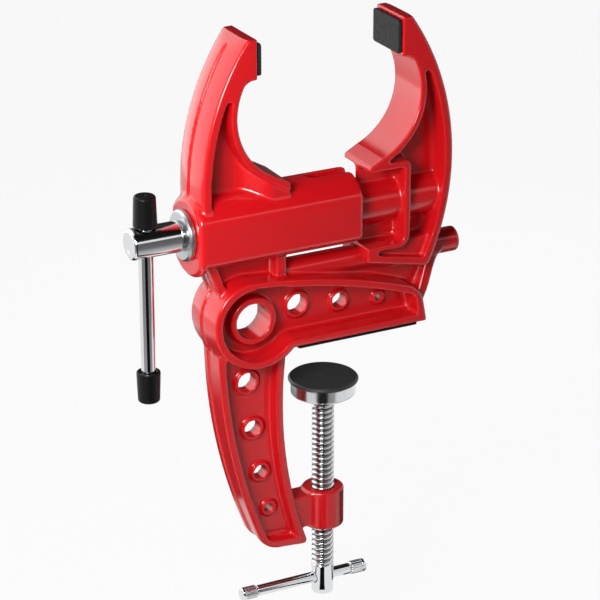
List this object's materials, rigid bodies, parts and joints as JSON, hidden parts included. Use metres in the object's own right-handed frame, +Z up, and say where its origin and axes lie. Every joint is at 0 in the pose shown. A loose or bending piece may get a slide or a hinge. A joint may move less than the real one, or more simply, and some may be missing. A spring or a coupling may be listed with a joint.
{
  "type": "ski tuning vise",
  "caption": "Red cast ski tuning vise: C-shaped jaws with rubber pads, a jaw sliding on a chrome T-bar spindle, a curved frame with ringed holes and a bench clamp screw below.",
  "frame": {"origin": "on the clamp screw's axis, in the plane of the rubber strip's underside, where the vise sits on the bench", "axes": "+X along the jaw spindle from the fixed jaw to the moving jaw, +Y to the back, +Z up from the bench"},
  "size_m": [0.2505, 0.05, 0.43],
  "materials": {
    "red_paint": "gloss powder coat",
    "black_rubber": "matte",
    "chrome": "polished",
    "plain_steel": "satin",
    "bronze": "satin"
  },
  "bodies": {
    "frame": {"frame_casting": "red_paint", "fixed_jaw_pad": "black_rubber", "bench_strip": "black_rubber", "spindle_bush": "bronze"},
    "moving_jaw": {"moving_jaw": "red_paint", "moving_jaw_pad": "black_rubber", "spindle_nut": "bronze", "nut_pin": "plain_steel"},
    "jaw_spindle": {"jaw_spindle": "chrome", "spindle_washer": "chrome", "spindle_collar": "plain_steel", "collar_pin": "plain_steel"},
    "spindle_bar": {"spindle_bar": "chrome", "spindle_bar_cap_upper": "black_rubber", "spindle_bar_cap_lower": "black_rubber"},
    "clamp_pad": {"clamp_disc": "chrome", "clamp_disc_cap": "black_rubber"},
    "clamp_screw": {"clamp_screw": "chrome", "disc_clip": "plain_steel"},
    "clamp_bar": {"clamp_bar": "chrome", "clamp_bar_end_left": "chrome", "clamp_bar_end_right": "chrome"}
  },
  "joints": [
    {"name": "jaw_slide", "type": "slide", "parent": "frame", "child": "moving_jaw", "axis": [1, 0, 0], "range_m": [-0.033, 0.018]},
    {"name": "spindle_turn", "type": "hinge", "parent": "frame", "child": "jaw_spindle", "pos_m": [-0.12, 0, 0.0913], "axis": [1, 0, 0], "range_deg": [-1640, 2990]},
    {"name": "spindle_bar_slide", "type": "slide", "parent": "jaw_spindle", "child": "spindle_bar", "axis": [0, 0, 1], "range_m": [0, 0.083]},
    {"name": "clamp_rise", "type": "slide", "parent": "frame", "child": "clamp_pad", "axis": [0, 0, 1], "range_m": [-0.07, 0.029]},
    {"name": "clamp_turn", "type": "hinge", "parent": "clamp_pad", "child": "clamp_screw", "pos_m": [0, 0, -0.12], "axis": [0, 0, 1], "range_deg": [-6320, 2620]},
    {"name": "clamp_bar_slide", "type": "slide", "parent": "clamp_screw", "child": "clamp_bar", "axis": [1, 0, 0], "range_m": [-0.0135, 0.0455]}
  ],
  "couplings": [
    {"joint": "spindle_turn", "follows": "jaw_slide", "rad_per_m": -1570.8},
    {"joint": "clamp_turn", "follows": "clamp_rise", "rad_per_m": 1570.8}
  ]
}
